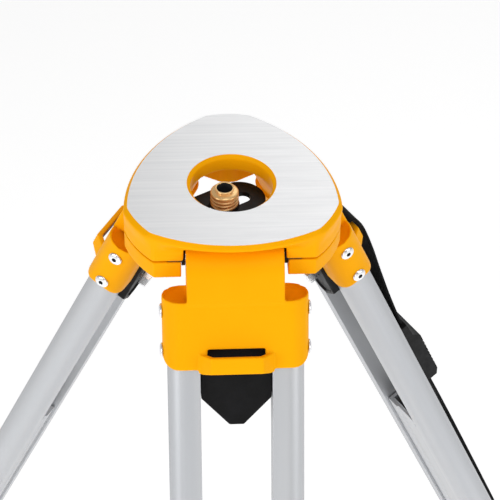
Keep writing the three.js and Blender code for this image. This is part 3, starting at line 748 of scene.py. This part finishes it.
def swing_arm():
    """Slotted strip from its pivot at the origin along +x; its upper face at z = 0."""
    eye, shoulder, half, round_end = 7.5, 12, 14.8, 34.8
    slot_half, slot_start, slot_end = 4.3, 17.5, 37.1
    thickness = 3
    shape = arc(0, 0, eye, 2.1, 2 * HALF_TURN - 2.1, 24) + [(shoulder, -half)]
    shape += arc(round_end, 0, half, -QUARTER, QUARTER, 40) + [(shoulder, half)]
    slot = arc(slot_start, 0, slot_half, QUARTER, 3 * QUARTER, 20)
    slot += arc(slot_end, 0, slot_half, -QUARTER, QUARTER, 20)
    return cut(prism(shape, -thickness, 0), prism(slot, -thickness - 1, 1), rod(3.4, -thickness - 1, 1))


def fixing_knob():
    """Eight-lobed grip with a dished top, its axis at the origin."""
    low, high = local_box("fixing_knob", HEAD_FRAME)
    radius = 13
    lobes = 8
    angles = [2 * HALF_TURN * i / 192 for i in range(192)]
    heights = [(0, 0.9), (0.06, 0.97), (0.14, 1.0), (0.86, 1.0), (0.94, 0.97), (1, 0.9)]
    outer = []
    for share, swell in heights:
        z = low.z + share * (high.z - low.z)
        reach = [(radius - 0.8 + 0.8 * math.cos(lobes * a)) * swell for a in angles]
        outer.append([(r * math.cos(a), r * math.sin(a), z) for r, a in zip(reach, angles)])
    bore = [[(4.2 * math.cos(a), 4.2 * math.sin(a), z) for a in angles] for z in (high.z, low.z)]
    return stack("knob", outer + bore, closed=True)


# ---------------------------------------------------------------- legs


def d_section(grow, flat_grow):
    radius = TUBE_DEPTH + grow
    flat = TUBE_FLAT - flat_grow
    return [(flat, TUBE_PLANE - radius)] + arc(TUBE_ROUND, TUBE_PLANE, radius, -QUARTER, QUARTER, 32) \
        + [(flat, TUBE_PLANE + radius)]


def stadium(half, radius, centre):
    return arc(half - radius, centre, radius, -QUARTER, QUARTER, 24) \
        + arc(-half + radius, centre, radius, QUARTER, 3 * QUARTER, 24)


def rounded(half_x, half_y, radius, centre):
    points = []
    for x, y, start in ((1, -1, -QUARTER), (1, 1, 0), (-1, 1, QUARTER), (-1, -1, 2 * QUARTER)):
        points += arc(x * (half_x - radius), centre + y * (half_y - radius), radius,
                      start, start + QUARTER, 8)
    return points


def strap_bar(top, bottom, root, face):
    """Stands off a casting's face on two slanted ends."""
    thickness, slant = 3, 0.83
    half = BAR_HALF + slant * (face - root)
    side = [(-BAR_HALF, face), (-half, root), (3.9 - half, root), (1.4 - BAR_HALF, face - thickness)]
    shape = side + [(-x, y) for x, y in reversed(side)]
    return prism([(x, TUBE_PLANE + y) for x, y in shape], -bottom, -top)


def leg_tongue():
    front = TUBE_PLANE + TUBE_DEPTH + SHELL + 0.4
    crown = math.radians(35)
    tip = (BARREL_RADIUS * math.cos(crown), BARREL_RADIUS * math.sin(crown))
    shape = [(-BARREL_RADIUS, -BODY_FRONT_TOP - 1), (front, -BODY_FRONT_TOP - 1), (front, -9.5)]
    shape += curve((front, -9.5), (front, -1), tip, 12)
    shape += arc(0, 0, BARREL_RADIUS, crown, HALF_TURN, 32)[1:]
    return prism(shape, -TONGUE_HALF, TONGUE_HALF, along="x")


def leg_casting():
    half = TUBE_ROUND + TUBE_DEPTH + SHELL
    depth = TUBE_DEPTH + SHELL
    back, front = TUBE_PLANE - depth, TUBE_PLANE + depth
    corner = 7
    body = prism(stadium(half, depth, TUBE_PLANE), -BODY_BOTTOM, -BODY_TOP)
    face = [(-half, -BODY_TOP)]
    face += arc(-half + corner, -BODY_BOTTOM + corner, corner, HALF_TURN, 3 * QUARTER, 12)
    face += arc(half - corner, -BODY_BOTTOM + corner, corner, 3 * QUARTER, 4 * QUARTER, 12)
    face += [(half, -BODY_TOP)]
    common(body, prism(face, back - 1, front + 1, along="y"))
    slope = prism([(back - 5, -BODY_TOP + 0.6), (front + 5, -BODY_FRONT_TOP - 0.6), (front + 5, 0),
                   (back - 5, 0)], -half - 5, half + 5, along="x")
    dishes = []
    for side in (-1, 1):
        dish = ellipsoid(depth - 0.8, depth - 0.8, DISH_DEPTH)
        dishes.append(shift(dish, side * TUBE_ROUND, TUBE_PLANE, DISH_HEIGHT))
    cut(body, slope, *dishes)
    bar_face = TUBE_PLANE + BAR_FACE + 0.01
    bevel = prism([(bar_face, -BAR_BEVEL_TOP), (bar_face, -BAR_BOTTOM - 1), (front, -BAR_BOTTOM - 1),
                   (front + 2, -BAR_BOTTOM)], -half, half, along="x")
    join(body, leg_tongue(), cut(strap_bar(BAR_TOP, BAR_BOTTOM, depth - 0.5, BAR_FACE), bevel))
    tube_top = local_box("front_tube_a", LEG_FRAMES["front"])[1].z
    plug = local_box("front_leg_plug", LEG_FRAMES["front"])[1]
    sockets = [prism(d_section(0.3, 0.5), -BODY_BOTTOM - 2, tube_top + 0.3) for _ in range(2)]
    channel = block(-TUBE_FLAT, TUBE_FLAT, back - 10, TUBE_PLANE + 9, -BODY_BOTTOM - 2, plug.z + 0.3)
    notch = block(-16, 16, plug.y, front + 0.05, -BODY_BOTTOM - 2, 2.5 - BAR_TOP)
    bore = rod(PIN_RADIUS + 0.35, -TONGUE_HALF - 5, TONGUE_HALF + 5, along="x")
    cut(body, sockets[0], mirrored(sockets[1]), channel, notch, bore)
    return cast(body)


def ellipsoid(x, y, z):
    rows = [(math.cos(a), math.sin(a)) for a in (QUARTER * (i / 10 - 1) for i in range(21))]
    rows[0], rows[-1] = (0, -1), (0, 1)
    ball = lathe("ball", rows, 48)
    ball.data.transform(Matrix.Diagonal((x, y, z, 1)))
    return ball


def leg_tube():
    low, high = local_box("front_tube_a", LEG_FRAMES["front"])
    return pipe("tube", d_section(0, 0), d_section(-TUBE_WALL, -TUBE_WALL), low.z, high.z)


def leg_plug():
    """Closes the gap between the tubes, with a V-shaped lower end and a raised border."""
    low, high = local_box("front_leg_plug", LEG_FRAMES["front"])
    tip_half, v_height = 4, 16

    def v_plate(inset, back, front):
        half, top, foot = high.x - inset, high.z - inset, low.z + inset
        shoulder, tip = low.z + v_height + 0.4 * inset, tip_half - 0.4 * inset
        shape = [(-half, top), (-half, shoulder), (-tip, foot), (tip, foot), (half, shoulder), (half, top)]
        return prism(shape, back, front, along="y")

    bolt = local_box("front_plug_bolt", LEG_FRAMES["front"])
    height = (bolt[0].z + bolt[1].z) / 2
    recess = v_plate(2.2, low.y - 1, low.y + 1.2)
    bore = rod(2.9, low.y - 5, 4 + TUBE_PLANE, x=0, y=height, along="y")
    return cut(v_plate(0, low.y, high.y), recess, bore)


def rivet():
    """Blind rivet with a domed head under +z and a broken stem in its middle."""
    dome = [(0, -3), (2, -3), (2, 0), (4.1, 0), (4.1, 0.35), (3.7, 0.85), (3.0, 1.2), (2.2, 1.42),
            (1.5, 1.5), (1.3, 1.4), (1.25, 0.7), (0, 0.7)]
    obj = lathe("rivet", dome, 40)
    obj.data.materials.append(SURFACES["zinc_steel"])
    obj.data.materials.append(SURFACES["recess"])
    # The hollow in the head's middle gets the near-black material as painted shade; the real rivet is
    # metal there.
    for face in obj.data.polygons:
        face.material_index = int(Vector(face.center.xy).length < 1.28 and face.center.z > 0)
    return obj


# ---------------------------------------------------------------- clamp


def clamp_housing():
    low, high = local_box("front_clamp_housing", LEG_FRAMES["front"])
    pin = lever_pin_place()
    depth = TUBE_DEPTH + 4
    half = TUBE_ROUND + TUBE_DEPTH + 4
    front = TUBE_PLANE + depth
    body = prism(stadium(half, depth, TUBE_PLANE), low.z, high.z)
    ear = [(front - 1, pin.z + 13), (front - 1, pin.z - 13)] + arc(pin.y, pin.z, 6, -0.9, 0.9, 20)
    ears = [prism(ear, x - 2, x + 2, along="x") for x in (-12.2, 12.2)]
    top = -high.z
    join(body, *ears, strap_bar(top + 2, top + 12, depth - 0.5, depth + 7))
    tube_end = local_box("front_tube_a", LEG_FRAMES["front"])[0].z
    sockets = [prism(d_section(0.3, 0.8), tube_end - 0.3, high.z + 2) for _ in range(2)]
    window = block(-LOWER_HALF - 0.4, LOWER_HALF + 0.4, TUBE_PLANE - LOWER_DEPTH - 0.5,
                   TUBE_PLANE + LOWER_DEPTH + 0.5, low.z - 2, high.z + 2)
    shoe = block(-8.3, 8.3, TUBE_PLANE, front + 2, pin.z - 9.3, pin.z + 9.3)
    hole = rod(3.3, -20, 20, x=pin.y, y=pin.z, along="x")
    cut(body, sockets[0], mirrored(sockets[1]), window, shoe, hole)
    return cast(body)


def lever_pin_place():
    low, high = local_box("front_lever_pin", LEG_FRAMES["front"])
    return (low + high) / 2


def clamp_lever():
    """Cam lever with a ribbed grip; its pin at the local origin."""
    cam, eccentric, half = 6.6, 1.2, 9.6
    shape = arc(-eccentric, 0, cam, -0.3, HALF_TURN + 0.9, 32) + [(-3.6, -9), (-2.6, -42)]
    shape += curve((-2.6, -42), (-2.4, -58), (2.5, -68)) + [(6.5, -66)]
    shape += curve((6.5, -66), (3.4, -55), (3.4, -42)) + [(4.4, -9)]
    lever = prism(shape, -half, half, along="x")
    grooves = [rod(1.1, -half + 2.2, half - 2.2, x=4.2, y=-34 - 4.4 * i, along="x", sides=16)
               for i in range(5)]
    return cut(lever, rod(3.3, -half - 1, half + 1, along="x"), *grooves)


# ---------------------------------------------------------------- lower leg and foot


def lower_leg():
    low, high = local_box("front_lower_leg", LEG_FRAMES["front"])
    groove, wall = 10, 2.2
    outer = [(-LOWER_HALF, low.y), (-groove, low.y), (-groove + 1, low.y + 1), (groove - 1, low.y + 1),
             (groove, low.y), (LOWER_HALF, low.y), (LOWER_HALF, high.y), (groove, high.y),
             (groove - 1, high.y - 1), (-groove + 1, high.y - 1), (-groove, high.y),
             (-LOWER_HALF, high.y)]
    inner = [(math.copysign(min(abs(x), LOWER_HALF - wall), x),
              min(max(y, low.y + wall + 1), high.y - wall - 1)) for x, y in outer]
    return pipe("lower_leg", outer, inner, low.z, high.z)


def foot():
    low, high = local_box("front_foot", LEG_FRAMES["front"])
    leg_end = local_box("front_lower_leg", LEG_FRAMES["front"])[0].z
    half, deep, waist = LOWER_HALF + 3.5, LOWER_DEPTH + 3.5, leg_end - 5
    sleeve = prism(rounded(half, deep, 4, TUBE_PLANE), waist - 1, high.z)
    toe = prism([(TUBE_PLANE - deep, waist), (TUBE_PLANE - 9.5, low.z), (TUBE_PLANE + 9.5, low.z),
                 (TUBE_PLANE + deep, waist)], -half, half, along="x")
    side = [(-half, waist), (-9.5, low.z), (9.5, low.z), (half, waist)]
    common(toe, prism(side, TUBE_PLANE - 20, TUBE_PLANE + 20, along="y"))
    edge = high.y
    tread = prism([(-15, TUBE_PLANE + 10), (-15, edge - 4), (-11, edge), (11, edge), (15, edge - 4),
                   (15, TUBE_PLANE + 10)], low.z + 29, low.z + 34)
    rib = prism([(TUBE_PLANE + 10, low.z + 3), (TUBE_PLANE + 10, low.z + 33), (edge - 4, low.z + 33),
                 (edge - 4, low.z + 27)], -2.5, 2.5, along="x")
    join(sleeve, toe, tread, rib)
    socket = prism(rounded(LOWER_HALF + 0.3, LOWER_DEPTH + 0.3, 0.5, TUBE_PLANE), leg_end - 0.3,
                   high.z + 2)
    bore = rod(5.3, low.z - 2, leg_end - 6, y=TUBE_PLANE)
    return cast(cut(sleeve, socket, bore))


# ---------------------------------------------------------------- strap

# depth from the tubes' centre plane, and length down the leg from the hinge pin
STRAP_ROUTE = [
    (12.6, 214), (12.6, 180), (12.4, 150), (12.1, 110), (11.9, 80), (12.2, 66), (12.9, 57), (13.8, 50.5),
    (16.8, 46.6), (20.3, 48.6), (22.2, 55.5), (22.6, 64), (21.6, 82), (19.8, 100), (17.3, 130),
    (15.6, 165), (15.6, 190), (15.6, 214), (15.9, 260), (15.6, 340), (14.8, 460), (14.4, 580), (15.2, 660),
    (15.6, 690), (15.6, 700), (16.2, 706.2), (19, 708.6), (21.8, 706.2), (22.6, 700), (21.2, 688),
    (18.2, 668), (17.2, 640),
]


def spline(points, per_span):
    """Smooth curve through points, as a list of (position, tangent)."""
    padded = [points[0]] + points + [points[-1]]
    samples = []
    for i in range(len(points) - 1):
        p0, p1, p2, p3 = (Vector(p) for p in padded[i:i + 4])
        span = max(2, round((p2 - p1).length / per_span))
        d1 = (p2 - p0) * (p2 - p1).length / max(1e-6, (p1 - p0).length + (p2 - p1).length)
        d2 = (p3 - p1) * (p2 - p1).length / max(1e-6, (p3 - p2).length + (p2 - p1).length)
        for k in range(span + (i == len(points) - 2)):
            t = k / span
            position = (2 * t ** 3 - 3 * t ** 2 + 1) * p1 + (t ** 3 - 2 * t ** 2 + t) * d1 \
                + (3 * t ** 2 - 2 * t ** 3) * p2 + (t ** 3 - t ** 2) * d2
            tangent = (6 * t ** 2 - 6 * t) * p1 + (3 * t ** 2 - 4 * t + 1) * d1 \
                + (6 * t - 6 * t ** 2) * p2 + (3 * t ** 2 - 2 * t) * d2
            samples.append((position, tangent.normalized()))
    return samples


def strap():
    """Woven band: rounded selvedges, gently crowned faces, and a map in metres for its weave."""
    half, thick = STRAP_HALF, STRAP_THICKNESS / 2
    section = arc(half - thick, 0, thick, -QUARTER, QUARTER, 6)
    section += [(x, thick * 0.86) for x in (9, 6, 3, 0, -3, -6, -9)]
    section += arc(-half + thick, 0, thick, QUARTER, 3 * QUARTER, 6)
    section += [(x, -thick * 0.86) for x in (-9, -6, -3, 0, 3, 6, 9)]
    samples = spline([(TUBE_PLANE + y, -length) for y, length in STRAP_ROUTE], 3)
    loops, distance, travelled = [], [], 0
    previous = samples[0][0]
    for position, tangent in samples:
        travelled += (position - previous).length
        previous = position
        distance.append(travelled)
        normal = Vector((-tangent.y, tangent.x))
        loops.append([(*(position + normal * offset), x) for x, offset in section])
    obj = stack("strap", loops, along="x")
    count = len(section)
    layer = obj.data.uv_layers.new(name="weave")
    for polygon in obj.data.polygons:
        for corner in polygon.loop_indices:
            vertex = obj.data.loops[corner].vertex_index
            x = section[vertex % count][0]
            layer.data[corner].uv = (x * MM, distance[vertex // count] * MM)
    return obj


def strap_buckle():
    """Moulded slider: base plate, raised block with grip ribs, and a slot for the two bands."""
    low, high = local_box("strap_buckle", LEG_FRAMES["right"])
    top, bottom = high.z, low.z
    profile = [(low.y, top), (TUBE_PLANE + 17.6, top), (TUBE_PLANE + 18.2, top - 12),
               (high.y, top - 18), (high.y, bottom + 5), (TUBE_PLANE + 20.4, bottom), (low.y, bottom)]
    body = prism(profile, low.x, high.x, along="x")
    channel = block(-STRAP_HALF - 0.5, STRAP_HALF + 0.5, TUBE_PLANE + 11.45, TUBE_PLANE + 16.8,
                    bottom - 2, top - 5)
    ribs = [rod(0.9, low.x - 1, high.x + 1, x=high.y + 0.1, y=top - 25 - 4 * i, along="x", sides=16)
            for i in range(7)]
    return cut(body, channel, *ribs)


# ---------------------------------------------------------------- assembly


def show_head():
    piece("head_shell", finished(head_shell()), HEAD_FRAME, "head", "yellow_paint",
          replaces=["head_casting"])
    cap = finished(corner_cap())
    bolt_box = local_box("cap_bolt_1", HEAD_FRAME)
    under_cap = CAP_LOW.z - 0.3
    bolt = finished(hex_bolt(10, under_cap - bolt_box[0].z, 3, bolt_box[1].z - under_cap))
    for i, azimuth in enumerate(CORNER_AZIMUTHS, 1):
        place = sector_frame(azimuth)
        piece(f"corner_cap_{i}", cap, place, "head", "yellow_paint", replaces=[f"hinge_cap_{i}"])
        bolt_place = place @ Matrix.Translation(Vector((0, CAP_BOLT_RADIUS, under_cap)) * MM)
        piece(f"corner_bolt_{i}", bolt, bolt_place, "head", "zinc_steel", replaces=[f"cap_bolt_{i}"],
              bevel=0.25)


def show_bushes():
    """Plastic collars on the hinge pins, between each tongue and the head."""
    mesh = finished(rod(BUSH_RADIUS, TONGUE_HALF + 0.3, CAP_HALF - 0.2, along="x", sides=40))
    for leg, place in LEG_FRAMES.items():
        for side, turn in (("near", 0), ("far", HALF_TURN)):
            piece(f"{leg}_{side}_bush", mesh, place @ Matrix.Rotation(turn, 4, "Z"), "head",
                  "black_plastic", bevel=0.2)


def show_screw():
    pivot = Vector(JOINTS["arm_swing"]["pos_m"])
    along = Vector(JOINTS["screw_slide"]["axis"])
    turn = Matrix.Rotation(math.atan2(along.y, along.x), 4, "Z")
    arm_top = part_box("swing_arm")[1].z
    arm_place = Matrix.Translation((pivot.x, pivot.y, arm_top)) @ turn
    piece("slotted_arm", finished(swing_arm()), arm_place, "swing_arm", "black_steel",
          replaces=["swing_arm"], bevel=0.4)
    low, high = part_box("arm_pivot_bolt")
    head = 4
    bolt = finished(hex_bolt(8, head, 3, (high.z - low.z) / MM - head))
    piece("pivot_bolt", bolt, Matrix.Translation((pivot.x, pivot.y, low.z + head * MM)), "head",
          "zinc_steel", replaces=["arm_pivot_bolt"], bevel=0.25)
    centre = Vector(JOINTS["screw_spin"]["pos_m"])
    place = Matrix.Translation((centre.x, centre.y, PLATE_TOP))
    piece("hollow_screw", finished(fixing_screw()), place, "fixing_screw", "brass",
          replaces=["fixing_screw"])
    piece("screw_knob", finished(fixing_knob()), place, "fixing_screw", "black_plastic",
          replaces=["fixing_knob"], bevel=0.5)


def show_rivets(leg, mesh):
    side = TUBE_ROUND + TUBE_DEPTH + SHELL
    outer = {"right": 1, "left": -1}
    for edge, sign in outer.items():
        for row, height in enumerate(RIVET_HEIGHTS, 1):
            lean = Matrix.Rotation(sign * QUARTER, 4, "Y")
            spot = Matrix.Translation(Vector((sign * side, TUBE_PLANE, height)) * MM)
            piece(f"{leg}_rivet_{edge}_{row}", mesh, LEG_FRAMES[leg] @ spot @ lean, f"{leg}_leg",
                  "zinc_steel")


def show_legs():
    casting, tube, plug = finished(leg_casting()), finished(leg_tube()), finished(leg_plug())
    tube_b = finished(mirrored(leg_tube()))
    rivet_mesh = finished(rivet())
    housing, lever = finished(clamp_housing()), finished(clamp_lever())
    lower, foot_mesh = finished(lower_leg()), finished(foot())
    bolt_low, bolt_high = local_box("front_plug_bolt", LEG_FRAMES["front"])
    head = 5
    bolt = finished(hex_bolt(8, head, 2.5, bolt_high.y - bolt_low.y - head))
    bolt_spot = Vector((0, bolt_low.y + head, (bolt_low.z + bolt_high.z) / 2)) * MM
    bolt_place = Matrix.Translation(bolt_spot) @ Matrix.Rotation(-QUARTER, 4, "X")
    lever_place = Matrix.Translation(lever_pin_place() * MM)
    lever_place[0][3] = 0
    for leg, place in LEG_FRAMES.items():
        body = f"{leg}_leg"
        piece(f"{leg}_casting", casting, place, body, "yellow_paint", replaces=[f"{leg}_leg_casting"])
        piece(f"{leg}_upper_tube_a", tube, place, body, "anodised_tube", replaces=[f"{leg}_tube_a"],
              bevel=0.3)
        piece(f"{leg}_upper_tube_b", tube_b, place, body, "anodised_tube", replaces=[f"{leg}_tube_b"],
              bevel=0.3)
        piece(f"{leg}_plug", plug, place, body, "black_plastic", replaces=[f"{leg}_leg_plug"], bevel=0.6)
        piece(f"{leg}_hex_bolt", bolt, place @ bolt_place, body, "zinc_steel",
              replaces=[f"{leg}_plug_bolt"], bevel=0.25)
        piece(f"{leg}_clamp", housing, place, body, "yellow_paint", replaces=[f"{leg}_clamp_housing"])
        piece(f"{leg}_lever_grip", lever, place @ lever_place, f"{leg}_lever", "black_plastic",
              replaces=[f"{leg}_clamp_lever"], bevel=0.8)
        piece(f"{leg}_sliding_tube", lower, place, f"{leg}_lower_leg", "anodised_tube",
              replaces=[f"{leg}_lower_leg"], bevel=0.4)
        shoe = foot_mesh.copy()
        shoe.transform(place)
        piece(f"{leg}_shoe", shoe, Matrix(), f"{leg}_lower_leg", "yellow_paint", replaces=[f"{leg}_foot"])
        show_rivets(leg, rivet_mesh)


def show_strap():
    place = LEG_FRAMES["right"]
    piece("carrying_strap", finished(strap()), place, "right_leg", "webbing", replaces=["strap"])
    piece("slider_buckle", finished(strap_buckle()), place, "right_leg", "black_plastic",
          replaces=["strap_buckle"], bevel=0.8)


def show_cad_nodes():
    """CAD nodes whose shape is right: softened edges and their own material."""
    kept = {"slot_washer": "black_plastic", "thrust_washer": "brass"}
    for leg in LEGS:
        kept[f"{leg}_hinge_pin"] = "zinc_steel"
        kept[f"{leg}_clamp_shoe"] = "brass"
        kept[f"{leg}_lever_pin"] = "zinc_steel"
        kept[f"{leg}_spike"] = "spike_steel"
    for node, surface in kept.items():
        obj = frame["nodes"][node]
        obj.data.materials.clear()
        obj.data.materials.append(SURFACES[surface])
        weld = obj.modifiers.new("weld", "WELD")
        weld.merge_threshold = 1e-5
        flat = obj.modifiers.new("flat_faces", "DECIMATE")
        flat.decimate_type = "DISSOLVE"
        flat.angle_limit = math.radians(1)
        obj.data.shade_smooth()
        soften(obj, 0.3)


show_head()
show_bushes()
show_screw()
show_legs()
show_strap()
show_cad_nodes()
